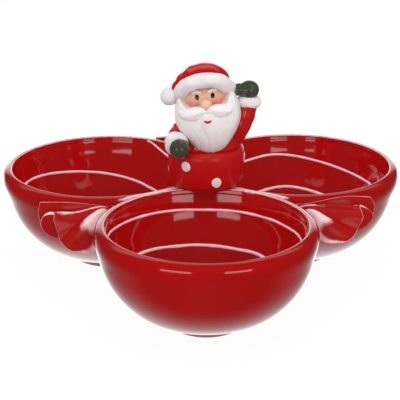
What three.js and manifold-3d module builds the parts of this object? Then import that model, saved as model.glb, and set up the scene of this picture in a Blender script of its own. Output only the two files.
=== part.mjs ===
// Three-bowl candy dish in glazed ceramic. Three round bowls run into each other, pleated ribbon tails fill
// the gaps outside, and a short drum on the joined rims carries a waving, bearded figure in a winter hat.
// Millimetres, +Z up. The origin is on the table, under the middle of the dish's footprint.

import * as THREE from "three";
import { mergeVertices } from "three/addons/utils/BufferGeometryUtils.js";
import Module from "manifold-3d";

const wasm = await Module();
wasm.setup();

// Joints: the cast pieces are luted together with a thin layer of slip
const slipGap = 0.3;

// Bowls: their outlines give the distance in from the radius and the height, the outside upwards and the
// inside downwards
const bowlRing = 63.3;
const bowlRadius = 59.6;
const bowlHeight = 56.5;
const bowlOutside = [
  [38.2, 4], [31.4, 6], [25.1, 9], [19.5, 13], [14.5, 18],
  [10.1, 24], [6.9, 30], [4.6, 36], [2.8, 42], [1.4, 48],
];
const bowlInside = [
  [7, 48], [8.2, 42], [10, 36], [12.5, 30], [15.4, 25], [19.4, 20],
  [23.7, 16], [28.2, 13], [33.6, 10.5], [38.7, 9], [44.7, 8],
];
const bowlFloor = 7.5;
const lipWidth = 6.4;
const lipRound = 2.3;
const footRadius = 16;
const footWall = 3.4;
const footHeight = 2.5;
const footRise = 3.1;

// Drum on the joined rims, a little to the right of the middle
const drumRadius = 21;
const drumSide = 1.9;
const drumHeight = 23;
const drumWall = 5;
const drumSeatDepth = 1;
const drumTopRound = 3.2;
const drumBottomRound = 4;

// Ribbon tails: each is tucked into the notch between two bowls, from where the notch is as wide as its
// mouth. The fold lines start at the tail's root, and their points give the distance out from there, the
// offset to the side, and the height below the rim.
const ribbonThickness = 2.4;
const notchMouth = 16;
const ribbonTuck = 14.529575;
const leftFolds = {
  stripEdge: [[0, 0, 4], [8.8, -3, 2.6], [21.7, -13, 1.6], [33.4, -26, 3.1]],
  stripSide: [[0, 0, 5], [8.5, -2.6, 3.2], [23, -13, 4.6], [35, -25, 9]],
  stripFoot: [[0, 0, 6], [8.1, -2.2, 3.7], [23.4, -11.5, 11.6], [33.8, -21.5, 19.7]],
  lobeSide: [[0, 0, 7], [7.8, -1.6, 3.7], [26.3, -9, 7.9], [37.6, -17.5, 12.4]],
  lobeTop: [[0, 0, 8], [8.1, -1, 3.2], [25.3, -8.5, 5.3], [35.9, -16, 7.1]],
  firstFold: [[0, 0, 9], [8.7, -0.4, 2.6], [22.1, -6.5, 4.3], [33, -12, 4.1]],
  lobeFront: [[0, 0, 10.5], [8.7, 0.2, 3.2], [25, -4.5, 7.2], [33.9, -10, 9.2]],
  crease: [[0, 0, 12.5], [8.8, 0.8, 3.5], [21.8, -1.5, 8.9], [31.6, -8, 17.3]],
  secondFold: [[0, 0, 16], [9.1, 2, 4], [21.2, 4.5, 6.7], [31.5, -3, 20.7]],
  lowerEdge: [[0, 0, 30], [9.3, 4, 17.9], [18.3, 7, 24.4], [25.9, 2, 24.1]],
};
const rightFolds = {
  stripEdge: [[0, 0, 4], [8.7, -3, 2.7], [25, -13, -0.8], [35.9, -24, 0.8]],
  stripSide: [[0, 0, 5], [8.3, -2.6, 3.5], [26, -13, 1.7], [38.7, -24.5, 6.1]],
  stripFoot: [[0, 0, 6], [7.9, -2.2, 4.2], [26.9, -11.5, 9.7], [36.7, -21, 15.7]],
  lobeSide: [[0, 0, 7], [7.9, -1.6, 4.6], [30.7, -9, 5.3], [40.5, -17.5, 9.2]],
  lobeTop: [[0, 0, 8], [8.2, -1, 4.4], [30.8, -8.5, 2.8], [38.2, -16, 5.1]],
  firstFold: [[0, 0, 9], [8.7, -0.4, 3.9], [23, -6.5, 3.1], [35.1, -12, 2.8]],
  lobeFront: [[0, 0, 10.5], [9, 0.2, 4.4], [26.8, -4.5, 5.6], [38.4, -10, 7.4]],
  crease: [[0, 0, 12.5], [10.5, 0.8, 4.8], [24.7, -1.5, 9], [35.8, -8, 14.9]],
  secondFold: [[0, 0, 16], [11.6, 2, 5], [21.4, 4.5, 5.9], [35.4, -3, 17.5]],
  lowerEdge: [[0, 0, 30], [14.1, 4, 18.3], [24.7, 7, 19.2], [32.9, 2, 19.2]],
};
const backFolds = {
  stripEdge: [[0, 0, 4], [8.5, -3, 2.6], [23, -15, -1.6], [33, -26.5, 1.2]],
  stripFoot: [[0, 0, 7], [8.2, -2, 3.6], [23, -10.5, 9], [33, -18.5, 15]],
  firstFold: [[0, 0, 9], [8.6, -0.8, 3], [24, -5, 4], [35, -10, 5]],
  crease: [[0, 0, 12], [8.6, 0.4, 3.4], [24, 0.4, 8.5], [35, 0.5, 13.5]],
  secondFold: [[0, 0, 15], [8.6, 1.6, 3], [24, 5.5, 4], [35, 10.5, 5]],
  edgeFoot: [[0, 0, 20], [8.2, 2.8, 5], [23, 11, 9], [33, 19, 15]],
  edge: [[0, 0, 30], [8.5, 4, 12], [22, 16, -1.6], [33, 29.5, 1.2]],
};

// Figure: places are measured from the middle of the drum's top, those of the head's pieces from its middle
const coatOutline = [[18, 0], [18.6, 4], [17, 10.5], [13.4, 17], [7.8, 21.6], [0, 23]];
const coatDepthRatio = 0.82;
const coatHollow = [[14, 0], [14, 9], [0, 18.5]];
const headPlace = [-0.8, -2, 28];
const headTilt = -7;
const headRadii = [13, 12, 13];
const hairPlace = [0, 2.5, -3];
const hairRadii = [16, 13, 12.5];
const beardPlace = [0.4, -7, -8.8];
const beardRadii = [17.9, 12, 20.9];
const beardSwing = -8;
const hairParting = -3;
const faceOpening = { width: 11.5, height: 8.5, level: 4 };
const moustachePlace = [6.4, -16.5, -4.8];
const moustacheRadii = [8, 3.8, 4.2];
const moustacheDroop = 12;
const noseRadius = 3.4;
const nosePlace = [0, -14.4, -0.8];
const bandTube = 4.1;
const bandFront = [0, -13.5, 11.2];
const bandCorner = [8, -11.7, 9.8];
const bandTemple = [12.7, -6.5, 5.4];
const bandSide = [13, 1.5, 1.5];
const bandNape = [8.5, 9.8, 0.5];
const bandBack = [0, 12.8, 0.5];
const hatSeatLevel = 4.4;
const hatSeatTilt = 22.5;
const hatPlace = [0, 1, 5.6];
const hatRadii = [15.3, 14.3, 12.2];
const hatTipPath = [[-5, 1, 11], [-12.5, -1, 11.5], [-18, -3.5, 7]];
const hatTipRadii = [8, 5.4, 3.2];
const pompomPlace = [-19, -4, 3.4];
const pompomRadius = 4.9;

// Raised arm, on the viewer's right
const raisedSleevePath = [[10, 1, 12], [18.5, -1, 15.5], [22.2, -4, 21]];
const raisedSleeveRadii = [6.4, 5.6, 4.5];
const raisedCuffPlace = [23.1, -5, 25.6];
const raisedCuffRadii = [6.5, 5.4, 3.9];
const raisedMittenPlace = [22.9, -6, 32.3];
const raisedMittenRadii = [5.6, 4.4, 5.2];
const raisedThumbPlace = [17.5, -6.5, 33.4];
const raisedThumbRadii = [3.2, 2.6, 2.5];

// Lowered arm, whose mitten holds the drum's top edge
const loweredSleevePath = [[-10.8, 0, 14], [-16.3, -5, 11], [-16.6, -11, 8]];
const loweredSleeveRadii = [5.6, 5.2, 4.8];
const loweredCuffPlace = [-16.4, -14.8, 4.8];
const loweredCuffRadii = [6.6, 3.8, 6.6];
const loweredCuffTurn = -25;
const loweredMittenPlace = [-15, -20, 3.8];
const loweredMittenRadii = [5.5, 5, 5.5];

// Facets
const bowlSides = 40;
const lipSteps = 4;
const drumSides = 32;
const edgeSteps = 3;
const eggSides = 16;
const eggRings = 9;
const smallEggSides = 10;
const smallEggRings = 6;
const smallEggSize = 4.3;
const limbSides = 10;
const limbSteps = 6;
const bandSteps = 28;
const coatSteps = 10;
const ribbonSteps = 14;
const foldSteps = 2;

// Places that follow from the sizes above
const drumBase = bowlHeight - drumSeatDepth;
const drumTop = drumBase + drumHeight;
const lipLevel = bowlHeight - lipRound;
const farAway = 4 * bowlRadius;
const jointTurn = 30;
const jointReach = bowlRing * Math.cos(THREE.MathUtils.degToRad(jointTurn));
const mouthReach = bowlRing / 2 + Math.sqrt(bowlRadius ** 2 - (jointReach - notchMouth / 2) ** 2);
const ribbonRoot = mouthReach - ribbonTuck;

const redGlaze = { color: 0xa50a0c, roughness: 0.12, metalness: 0 };
const whiteGlaze = { color: 0xe6e0de, roughness: 0.3, metalness: 0 };
const greenGlaze = { color: 0x3c4a38, roughness: 0.2, metalness: 0 };
const skinGlaze = { color: 0xe3b495, roughness: 0.35, metalness: 0 };

// Closed triangle mesh to a solid that can be joined and cut
function toSolid(geometry) {
  const bare = new THREE.BufferGeometry();
  bare.setAttribute("position", geometry.getAttribute("position"));
  bare.setIndex(geometry.getIndex());
  const merged = mergeVertices(bare, 1e-4);
  const corners = merged.getIndex().array;
  const kept = [];
  for (let i = 0; i < corners.length; i += 3) {
    const [a, b, c] = corners.slice(i, i + 3);
    if (a !== b && b !== c && c !== a) kept.push(a, b, c);
  }
  const vertProperties = Float32Array.from(merged.getAttribute("position").array);
  return new wasm.Manifold(new wasm.Mesh({ numProp: 3, vertProperties, triVerts: Uint32Array.from(kept) }));
}

function toMesh(name, solid, finish) {
  const { vertProperties, triVerts } = solid.getMesh();
  const geometry = new THREE.BufferGeometry();
  geometry.setAttribute("position", new THREE.BufferAttribute(vertProperties, 3));
  geometry.setIndex(new THREE.BufferAttribute(triVerts, 1));
  geometry.computeVertexNormals();
  const mesh = new THREE.Mesh(geometry, new THREE.MeshStandardMaterial(finish));
  mesh.name = name;
  return mesh;
}

// Turned shape about +Z; the profile runs up the outside, from [radius, height] points
function turned(profile, sides) {
  const points = profile.map(([radius, height]) => new THREE.Vector2(radius, height));
  return new THREE.LatheGeometry(points, sides).rotateX(Math.PI / 2);
}

// Quarter or half turn of an ellipse, as [radius, height] points
function arc(centre, radii, start, end, steps) {
  return Array.from({ length: steps + 1 }, (unused, i) => {
    const angle = THREE.MathUtils.degToRad(start + (end - start) * i / steps);
    return [centre[0] + radii[0] * Math.cos(angle), centre[1] + radii[1] * Math.sin(angle)];
  });
}

function egg(place, radii, turns = [0, 0, 0]) {
  const euler = new THREE.Euler(...turns.map(THREE.MathUtils.degToRad));
  const small = Math.max(...radii) < smallEggSize;
  const facets = small ? [smallEggSides, smallEggRings] : [eggSides, eggRings];
  return new THREE.SphereGeometry(1, ...facets)
    .scale(...radii)
    .applyMatrix4(new THREE.Matrix4().makeRotationFromEuler(euler))
    .translate(...place);
}

function grown(radii, grow) {
  return radii.map((radius) => radius + grow);
}

function mirrored([x, y, z]) {
  return [-x, y, z];
}

// Triangles that join rows of points, each row closed on itself or open
function joinRows(rows, rowLength, closedRow) {
  const faces = [];
  const last = closedRow ? rowLength : rowLength - 1;
  for (let i = 0; i + 1 < rows; i += 1) {
    for (let j = 0; j < last; j += 1) {
      const a = i * rowLength + j;
      const b = i * rowLength + (j + 1) % rowLength;
      faces.push(a, b, b + rowLength, a, b + rowLength, a + rowLength);
    }
  }
  return faces;
}

function fromPoints(points, faces) {
  const geometry = new THREE.BufferGeometry().setFromPoints(points);
  geometry.setIndex(faces);
  return geometry;
}

// Rings of points around a smooth path, whose radius runs through the radii from its start to its end
function tubePoints(curve, steps, radii, grow) {
  const frames = curve.computeFrenetFrames(steps, curve.closed);
  const points = [];
  for (let i = 0; i <= steps; i += 1) {
    const along = i / steps;
    const at = along * (radii.length - 1);
    const lower = Math.min(Math.floor(at), radii.length - 2);
    const radius = THREE.MathUtils.lerp(radii[lower], radii[lower + 1], at - lower) + grow;
    for (let j = 0; j < limbSides; j += 1) {
      const angle = 2 * Math.PI * j / limbSides;
      points.push(curve.getPointAt(along)
        .addScaledVector(frames.normals[i], radius * Math.cos(angle))
        .addScaledVector(frames.binormals[i], radius * Math.sin(angle)));
    }
  }
  return points;
}

function pathCurve(path, closed = false) {
  return new THREE.CatmullRomCurve3(path.map((point) => new THREE.Vector3(...point)), closed);
}

// Tapered round limb along a smooth path, with flat ends
function limb(path, radii, grow = 0) {
  const faces = joinRows(limbSteps + 1, limbSides, true);
  const lastRow = limbSteps * limbSides;
  for (let j = 1; j + 1 < limbSides; j += 1) {
    faces.push(0, j + 1, j);
    faces.push(lastRow, lastRow + j, lastRow + j + 1);
  }
  return fromPoints(tubePoints(pathCurve(path), limbSteps, radii, grow), faces);
}

// Round tube along a path that closes on itself
function hoop(path, radius, grow = 0) {
  const points = tubePoints(pathCurve(path, true), bandSteps, [radius, radius], grow);
  const count = bandSteps * limbSides;
  const faces = joinRows(bandSteps + 1, limbSides, true).map((corner) => corner % count);
  return fromPoints(points.slice(0, count), faces);
}

function bowlWall(outline) {
  return outline.map(([inset, height]) => [bowlRadius - inset, height]);
}

function bowlShell() {
  const footInside = footRadius - footWall;
  return turned([
    [0, footHeight],
    [footInside, footHeight],
    [footInside, 0],
    [footRadius, 0],
    [footRadius, footRise],
    ...bowlWall(bowlOutside),
    ...arc([bowlRadius - lipWidth / 2, lipLevel], [lipWidth / 2, lipRound], 0, 180, lipSteps),
    ...bowlWall(bowlInside),
    [0, bowlFloor],
  ], bowlSides);
}

// Filled outer form of a bowl, which the ribbon tails stay clear of
function bowlForm(place) {
  const side = [[footRadius, footRise], ...bowlWall(bowlOutside), [bowlRadius, lipLevel]];
  const form = turned([
    [0, footHeight - slipGap],
    ...side.map(([radius, height]) => [radius + slipGap, height - slipGap]),
    [bowlRadius + slipGap, bowlHeight + slipGap],
    [0, bowlHeight + slipGap],
  ], bowlSides);
  return toSolid(form.translate(...place, 0));
}

// Each bowl ends at the two upright planes where it meets its neighbours
function trimToJoints(bowl, angle) {
  return [angle - jointTurn, angle + jointTurn].reduce((solid, side) => {
    const turn = THREE.MathUtils.degToRad(side);
    return solid.trimByPlane([Math.cos(turn), Math.sin(turn), 0], slipGap / 2);
  }, bowl);
}

// Drum in its own frame: its top is at height 0
function drumForm(grow) {
  const rim = drumRadius + grow;
  return [
    [0, -drumHeight - grow],
    ...arc([rim - drumBottomRound, drumBottomRound - drumHeight - grow],
      [drumBottomRound, drumBottomRound], -90, 0, edgeSteps),
    ...arc([rim - drumTopRound, grow - drumTopRound], [drumTopRound, drumTopRound], 0, 90, edgeSteps),
    [0, grow],
  ];
}

function drumSolid(grow = 0) {
  return toSolid(turned(drumForm(grow), drumSides));
}

// The drum is cast hollow and stands open end down on the rims
function drumShell() {
  const cavity = turned([
    [0, -drumHeight - drumWall],
    [drumRadius - drumWall, -drumHeight - drumWall],
    [drumRadius - drumWall, -drumWall],
    [0, -drumWall],
  ], drumSides);
  return drumSolid().subtract(toSolid(cavity));
}

// Pleated sheet with a thickness: fold lines run along it, and smooth curves join them crosswise.
// It lies along +X; hand 1 puts its strip on the right of that line and -1 on the left.
function ribbonSheet({ folds, hand }) {
  const lines = Object.values(folds).map((line) => {
    return pathCurve(line.map(([out, side, below]) => [ribbonRoot + out, hand * side, bowlHeight - below]));
  });
  if (hand < 0) lines.reverse();
  const across = foldSteps * (lines.length - 1);
  const rows = [];
  for (let i = 0; i <= ribbonSteps; i += 1) {
    const section = new THREE.CatmullRomCurve3(lines.map((line) => line.getPoint(i / ribbonSteps)));
    rows.push(section.getPoints(across));
  }
  const upper = [];
  const lower = [];
  rows.forEach((row, i) => row.forEach((point, j) => {
    const along = rows[Math.min(i + 1, ribbonSteps)][j].clone().sub(rows[Math.max(i - 1, 0)][j]);
    const cross = row[Math.min(j + 1, across)].clone().sub(row[Math.max(j - 1, 0)]);
    const normal = along.cross(cross).normalize();
    upper.push(point.clone().addScaledVector(normal, ribbonThickness / 2));
    lower.push(point.clone().addScaledVector(normal, -ribbonThickness / 2));
  }));
  const width = across + 1;
  const count = upper.length;
  const faces = [];
  const bottom = joinRows(ribbonSteps + 1, width, false);
  for (let i = 0; i < bottom.length; i += 3) {
    const [a, b, c] = bottom.slice(i, i + 3);
    faces.push(a, c, b, a + count, b + count, c + count);
  }
  const edge = [];
  for (let j = 0; j < across; j += 1) edge.push(j);
  for (let i = 0; i < ribbonSteps; i += 1) edge.push(i * width + across);
  for (let j = across; j > 0; j -= 1) edge.push(ribbonSteps * width + j);
  for (let i = ribbonSteps; i > 0; i -= 1) edge.push(i * width);
  edge.forEach((a, i) => {
    const b = edge[(i + 1) % edge.length];
    faces.push(a, b, b + count, a, b + count, a + count);
  });
  return fromPoints([...upper, ...lower], faces);
}

// Figure shapes, each a solid that may be grown by a clearance, in the frame of the drum's top
const headFrame = new THREE.Matrix4()
  .makeRotationY(THREE.MathUtils.degToRad(headTilt))
  .setPosition(...headPlace);

function onHead(geometry) {
  return toSolid(geometry.applyMatrix4(headFrame));
}

function headEgg(place, radii, grow, turns) {
  return onHead(egg(place, grown(radii, grow), turns));
}

function headBlock(low, high) {
  const size = high.map((value, i) => value - low[i]);
  const middle = high.map((value, i) => (value + low[i]) / 2);
  return onHead(new THREE.BoxGeometry(...size).translate(...middle));
}

function coatForm(grow) {
  const outline = new THREE.SplineCurve(coatOutline.map((point) => new THREE.Vector2(...point)));
  const side = outline.getPoints(coatSteps).slice(1, -1).map(({ x, y }) => [x + grow, y + grow + slipGap]);
  const [[hemRadius], [, top]] = [coatOutline[0], coatOutline.at(-1)];
  return toSolid(turned([
    [0, slipGap - grow],
    [hemRadius + grow, slipGap - grow],
    ...side,
    [0, top + slipGap + grow],
  ], drumSides).scale(1, coatDepthRatio, 1));
}

// The coat is cast hollow and open below
function coatShell() {
  const opening = [[0, -slipGap], [coatHollow[0][0], -slipGap]];
  const hollow = turned([...opening, ...coatHollow.slice(1)], eggSides).scale(1, coatDepthRatio, 1);
  return coatForm(0).subtract(toSolid(hollow));
}

// The fur band arches over the brow and dips towards the nape
function bandForm(grow) {
  const right = [bandCorner, bandTemple, bandSide, bandNape];
  const left = right.map(mirrored).reverse();
  return onHead(hoop([bandFront, ...right, bandBack, ...left], bandTube, grow));
}

// Everything above (1) or below (-1) a plane that runs inside the fur band
function hatSeat(upward) {
  const half = new THREE.BoxGeometry(farAway, farAway, farAway)
    .translate(0, 0, upward * farAway / 2)
    .rotateX(THREE.MathUtils.degToRad(-hatSeatTilt))
    .translate(0, 0, hatSeatLevel);
  return onHead(half);
}

function hatForm(grow) {
  return headEgg(hatPlace, hatRadii, grow)
    .subtract(hatSeat(-1))
    .add(onHead(limb(hatTipPath, hatTipRadii, grow)));
}

function beardForm(grow) {
  const { width, height, level } = faceOpening;
  const opening = new THREE.CylinderGeometry(1, 1, farAway, drumSides)
    .scale(width - grow, 1, height - grow)
    .translate(0, -farAway / 2, level);
  const behind = headBlock([-farAway, hairParting + grow, -farAway], [farAway, farAway, farAway]);
  return headEgg(beardPlace, beardRadii, grow, [beardSwing, 0, 0])
    .subtract(onHead(opening))
    .subtract(hatSeat(1))
    .subtract(behind);
}

function hairForm(grow) {
  const front = headBlock([-farAway, -farAway, -farAway], [farAway, hairParting + slipGap - grow, farAway]);
  return headEgg(hairPlace, hairRadii, grow).subtract(front).subtract(hatSeat(1));
}

function moustacheForm(grow) {
  const right = headEgg(moustachePlace, moustacheRadii, grow, [0, moustacheDroop, 0]);
  return right.add(headEgg(mirrored(moustachePlace), moustacheRadii, grow, [0, -moustacheDroop, 0]));
}

function armEgg(place, radii, turns) {
  return (grow) => toSolid(egg(place, grown(radii, grow), turns));
}

function raisedMittenForm(grow) {
  return armEgg(raisedMittenPlace, raisedMittenRadii)(grow)
    .add(armEgg(raisedThumbPlace, raisedThumbRadii)(grow));
}

const forms = {
  drum: drumSolid,
  coat: coatForm,
  head: (grow) => headEgg([0, 0, 0], headRadii, grow),
  nose: (grow) => headEgg(nosePlace, [noseRadius, noseRadius, noseRadius], grow),
  moustache: moustacheForm,
  band: bandForm,
  hat: hatForm,
  pompom: (grow) => headEgg(pompomPlace, [pompomRadius, pompomRadius, pompomRadius], grow),
  beard: beardForm,
  hair: hairForm,
  raisedSleeve: (grow) => toSolid(limb(raisedSleevePath, raisedSleeveRadii, grow)),
  raisedCuff: armEgg(raisedCuffPlace, raisedCuffRadii),
  raisedMitten: raisedMittenForm,
  loweredSleeve: (grow) => toSolid(limb(loweredSleevePath, loweredSleeveRadii, grow)),
  loweredCuff: armEgg(loweredCuffPlace, loweredCuffRadii, [0, 0, loweredCuffTurn]),
  loweredMitten: armEgg(loweredMittenPlace, loweredMittenRadii),
};

// Each piece gives way to the pieces listed with it
const figurePieces = [
  ["figure_head", "head", skinGlaze, ["coat"]],
  ["figure_nose", "nose", skinGlaze, ["head"]],
  ["figure_moustache", "moustache", whiteGlaze, ["head", "nose"]],
  ["hat_fur_band", "band", whiteGlaze, ["head"]],
  ["hat_crown", "hat", redGlaze, ["head", "band"]],
  ["hat_pompom", "pompom", whiteGlaze, ["hat", "band"]],
  ["figure_beard", "beard", whiteGlaze, ["drum", "coat", "head", "nose", "moustache", "band"]],
  ["figure_hair", "hair", whiteGlaze, ["coat", "head", "band"]],
  ["sleeve_raised", "raisedSleeve", redGlaze, ["coat", "beard", "hair"]],
  ["cuff_raised", "raisedCuff", whiteGlaze, ["raisedSleeve", "beard", "hair"]],
  ["mitten_raised", "raisedMitten", greenGlaze, ["raisedCuff", "band", "hat"]],
  ["sleeve_lowered", "loweredSleeve", redGlaze, ["drum", "coat", "beard", "hair", "pompom"]],
  ["cuff_lowered", "loweredCuff", whiteGlaze, ["drum", "coat", "loweredSleeve", "beard"]],
  ["mitten_lowered", "loweredMitten", greenGlaze, ["drum", "coat", "loweredCuff", "beard"]],
];

const dish = new THREE.Group();
dish.position.y = bowlRing / 4;

const drumInDish = toSolid(turned(drumForm(slipGap), drumSides).translate(drumSide, 0, drumTop));
const bowlAngles = { bowl_front: -90, bowl_right: 30, bowl_left: 150 };
const bowlPlaces = Object.values(bowlAngles).map((angle) => {
  const turn = THREE.MathUtils.degToRad(angle);
  return [bowlRing * Math.cos(turn), bowlRing * Math.sin(turn)];
});
Object.entries(bowlAngles).forEach(([name, angle], i) => {
  const bowl = trimToJoints(toSolid(bowlShell().translate(...bowlPlaces[i], 0)), angle);
  dish.add(toMesh(name, bowl.subtract(drumInDish), redGlaze));
});

const ribbons = [
  { name: "ribbon_left", angle: 210, folds: leftFolds, hand: 1 },
  { name: "ribbon_right", angle: 330, folds: rightFolds, hand: -1 },
  { name: "ribbon_back", angle: 90, folds: backFolds, hand: -1 },
];
for (const ribbon of ribbons) {
  const sheet = toSolid(ribbonSheet(ribbon).rotateZ(THREE.MathUtils.degToRad(ribbon.angle)));
  const tail = bowlPlaces.reduce((solid, place) => solid.subtract(bowlForm(place)), sheet);
  dish.add(toMesh(ribbon.name, tail.subtract(drumInDish), redGlaze));
}

const figure = new THREE.Group();
figure.position.set(drumSide, 0, drumTop);
figure.add(toMesh("knot_drum", drumShell(), redGlaze));
figure.add(toMesh("figure_coat", coatShell(), redGlaze));
for (const [name, form, finish, clears] of figurePieces) {
  const cut = clears.reduce((solid, other) => solid.subtract(forms[other](slipGap)), forms[form](0));
  figure.add(toMesh(name, cut, finish));
}
dish.add(figure);

const candyDish = new THREE.Group();
candyDish.add(dish);
export default candyDish;
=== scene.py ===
import math

import bmesh
import bpy
from mathutils import Euler, Matrix, Vector, noise


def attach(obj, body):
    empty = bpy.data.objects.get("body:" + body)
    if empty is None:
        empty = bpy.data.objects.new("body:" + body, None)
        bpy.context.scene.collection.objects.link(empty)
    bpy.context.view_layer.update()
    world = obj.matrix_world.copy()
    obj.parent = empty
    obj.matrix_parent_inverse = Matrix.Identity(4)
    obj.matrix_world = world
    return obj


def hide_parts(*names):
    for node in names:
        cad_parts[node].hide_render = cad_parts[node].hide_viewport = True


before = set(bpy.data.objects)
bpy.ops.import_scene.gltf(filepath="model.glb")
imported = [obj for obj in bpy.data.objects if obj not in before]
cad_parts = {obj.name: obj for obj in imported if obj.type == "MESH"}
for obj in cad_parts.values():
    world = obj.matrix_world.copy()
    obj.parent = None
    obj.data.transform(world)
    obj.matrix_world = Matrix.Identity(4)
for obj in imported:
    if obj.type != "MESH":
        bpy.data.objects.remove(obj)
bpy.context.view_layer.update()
mm = 0.001
print("frame:", len(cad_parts), "nodes")


# curves and blends

def smoothPath(points, count, closed=False):
    marks = [Vector(point) for point in points]
    if closed:
        marks = [marks[-1], *marks, marks[0], marks[1]]
    else:
        marks = [2 * marks[0] - marks[1], *marks, 2 * marks[-1] - marks[-2]]
    spans = len(marks) - 3
    path = []
    for i in range(count):
        at = spans * i / (count if closed else count - 1)
        k = min(int(at), spans - 1)
        w = at - k
        a, b, c, d = marks[k:k + 4]
        path.append(0.5 * (2 * b + (c - a) * w + (2 * a - 5 * b + 4 * c - d) * w ** 2
                           + (3 * b - a - 3 * c + d) * w ** 3))
    return path


def ease(low, high, value):
    t = min(max((value - low) / (high - low), 0), 1)
    return t * t * (3 - 2 * t)


def between(stops, value):  # straight line through (place, amount) stops
    for (a, x), (b, y) in zip(stops, stops[1:]):
        if value <= b:
            return x + (y - x) * max(value - a, 0) / (b - a)
    return stops[-1][1]


def lumps(place, size, seed=0):  # soft noise, about -1 to 1, with lumps of that many millimetres
    return noise.noise(Vector(place) / size + Vector((seed * 7.3, seed * 3.1, seed * 5.7)))


# forms

def spunForm(profile, steps):
    bm = bmesh.new()
    verts = [bm.verts.new((radius * mm, 0, height * mm)) for radius, height in profile]
    edges = [bm.edges.new(pair) for pair in zip(verts, verts[1:])]
    bmesh.ops.spin(bm, geom=verts + edges, cent=(0, 0, 0), axis=(0, 0, 1),
                   angle=2 * math.pi, steps=steps, use_merge=True)
    bmesh.ops.remove_doubles(bm, verts=bm.verts[:], dist=1e-6)
    return bm


def eggForm(radii, segments=64, rings=40, square=2.0):
    bm = bmesh.new()
    bmesh.ops.create_uvsphere(bm, u_segments=segments, v_segments=rings, radius=1)
    for vert in bm.verts:
        vert.co /= sum(abs(x) ** square for x in vert.co) ** (1 / square)
    bmesh.ops.scale(bm, vec=Vector(radii) * mm, verts=bm.verts[:])
    return bm


def tubeForm(path, radii, sides=24, closed=False):
    bm = bmesh.new()
    rings = []
    count = len(path)
    for i, place in enumerate(path):
        ahead = path[(i + 1) % count] if closed else path[min(i + 1, count - 1)]
        behind = path[i - 1] if closed else path[max(i - 1, 0)]
        turn = (ahead - behind).to_track_quat("Z", "Y").to_matrix().to_4x4()
        ring = bmesh.ops.create_circle(bm, segments=sides, radius=radii[i] * mm,
                                       cap_ends=not closed and i in (0, count - 1),
                                       matrix=Matrix.Translation(place * mm) @ turn)["verts"]
        rings.append(list({edge for vert in ring for edge in vert.link_edges}))
    for ring, following in zip(rings, rings[1:] + rings[:1] if closed else rings[1:]):
        bmesh.ops.bridge_loops(bm, edges=ring + following)
    return bm


def fusedForm(forms, voxel, passes):  # several forms become one skin, with soft joins
    scrap = bpy.data.meshes.new("scrap")
    joined = bmesh.new()
    for form in forms:
        form.to_mesh(scrap)
        joined.from_mesh(scrap)
        form.free()
    joined.to_mesh(scrap)
    joined.free()
    holder = bpy.data.objects.new("scrap", scrap)
    bpy.context.scene.collection.objects.link(holder)
    remesh = holder.modifiers.new("skin", "REMESH")
    remesh.mode = "VOXEL"
    remesh.voxel_size = voxel * mm
    skin = bpy.data.meshes.new_from_object(holder.evaluated_get(bpy.context.evaluated_depsgraph_get()))
    bm = bmesh.new()
    bm.from_mesh(skin)
    bpy.data.objects.remove(holder)
    bpy.data.meshes.remove(scrap)
    bpy.data.meshes.remove(skin)
    for i in range(passes):
        bmesh.ops.smooth_vert(bm, verts=bm.verts[:], factor=0.5,
                              use_axis_x=True, use_axis_y=True, use_axis_z=True)
    return bm


def place(bm, where, turns=(0, 0, 0)):  # turns in degrees, then a move in millimetres
    turn = Euler([math.radians(x) for x in turns]).to_matrix()
    bmesh.ops.rotate(bm, cent=(0, 0, 0), matrix=turn, verts=bm.verts[:])
    bmesh.ops.translate(bm, vec=Vector(where) * mm, verts=bm.verts[:])
    return bm


def push(bm, amount):  # moves each vertex along its normal by amount(place in millimetres)
    bm.normal_update()
    moves = [vert.normal * amount(vert.co / mm) * mm for vert in bm.verts]
    for vert, move in zip(bm.verts, moves):
        vert.co += move


def mark(bm, name, amount):  # a value on each vertex that the finish reads
    layer = bm.verts.layers.float.get(name) or bm.verts.layers.float.new(name)
    for vert in bm.verts:
        vert[layer] = amount(vert.co / mm)


def makePiece(name, bm, finish, nodes=(), smooth=0, thickness=0):
    bmesh.ops.remove_doubles(bm, verts=bm.verts[:], dist=1e-6)
    bmesh.ops.recalc_face_normals(bm, faces=bm.faces[:])
    for face in bm.faces:
        face.smooth = True
    mesh = bpy.data.meshes.new(name)
    bm.to_mesh(mesh)
    bm.free()
    mesh.materials.append(finish)
    piece = bpy.data.objects.new(name, mesh)
    bpy.context.scene.collection.objects.link(piece)
    if thickness:
        wall = piece.modifiers.new("wall", "SOLIDIFY")
        wall.thickness = thickness * mm
        wall.offset = 0
    if smooth:
        rounding = piece.modifiers.new("rounding", "SUBSURF")
        rounding.levels = rounding.render_levels = smooth
    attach(piece, "root")
    if nodes:
        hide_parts(*nodes)


# finishes

class Wire:
    def __init__(self, finish, socket):
        self.finish = finish
        self.socket = socket

    def maths(self, operation, first, second=0.0):
        return self.finish.node("ShaderNodeMath", {"operation": operation}, {0: first, 1: second})

    def __add__(self, other):
        return self.maths("ADD", self, other)

    def __radd__(self, other):
        return self.maths("ADD", other, self)

    def __sub__(self, other):
        return self.maths("SUBTRACT", self, other)

    def __rsub__(self, other):
        return self.maths("SUBTRACT", other, self)

    def __mul__(self, other):
        return self.maths("MULTIPLY", self, other)

    def __rmul__(self, other):
        return self.maths("MULTIPLY", other, self)

    def __truediv__(self, other):
        return self.maths("DIVIDE", self, other)

    def __pow__(self, other):
        return self.maths("POWER", self, other)

    def __abs__(self):
        return self.maths("ABSOLUTE", self)


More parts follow.
